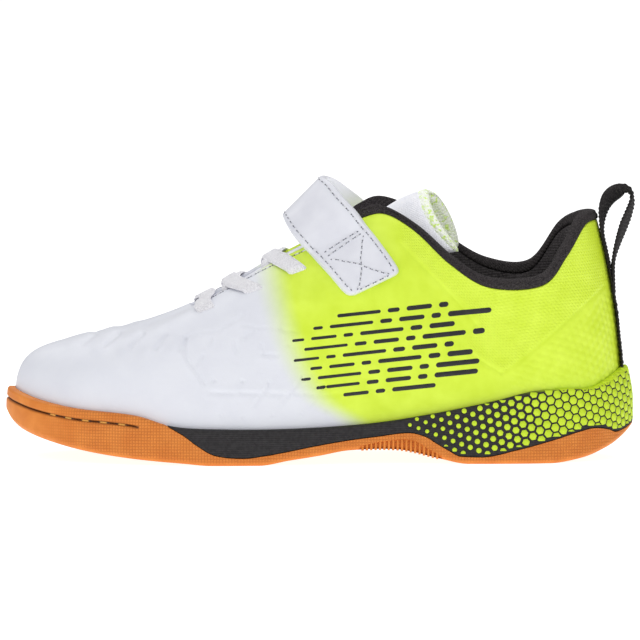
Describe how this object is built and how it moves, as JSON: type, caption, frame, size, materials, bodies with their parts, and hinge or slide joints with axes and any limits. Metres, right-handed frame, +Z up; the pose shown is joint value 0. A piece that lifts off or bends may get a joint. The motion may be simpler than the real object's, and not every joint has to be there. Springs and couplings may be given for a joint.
{
  "type": "indoor court shoe",
  "caption": "Low child's indoor court shoe with gum cup sole, hollow padded upper, elastic laces, instep strap and heel pull loop.",
  "frame": {"origin": "on the floor, below the middle of the shoe's length and width", "axes": "+X towards the heel, -Y to the outer side of the foot, +Z up"},
  "size_m": [0.21, 0.0758, 0.095],
  "materials": {
    "gum_rubber": "satin gum rubber with a fine mesh grain on its side",
    "midsole_foam": "matte black foam with yellow honeycomb cells at the heel",
    "upper_synthetic": "soft synthetic leather, white toe fading to fluorescent yellow",
    "black_knit": "matte knitted lining",
    "white_textile": "white textile with mesh lining",
    "insole_foam": "matte textile over foam",
    "white_synthetic": "smooth satin synthetic with stitched edge",
    "white_lace": "woven elastic",
    "black_webbing": "ribbed webbing"
  },
  "bodies": {
    "root": {"outsole": "gum_rubber", "midsole": "midsole_foam", "upper": "upper_synthetic", "collar_cuff": "black_knit", "tongue": "white_textile", "insole": "insole_foam", "strap": "white_synthetic", "lace_bar_1": "white_lace", "lace_cross_2": "white_lace", "lace_cross_3": "white_lace", "pull_loop": "black_webbing"}
  },
  "joints": []
}
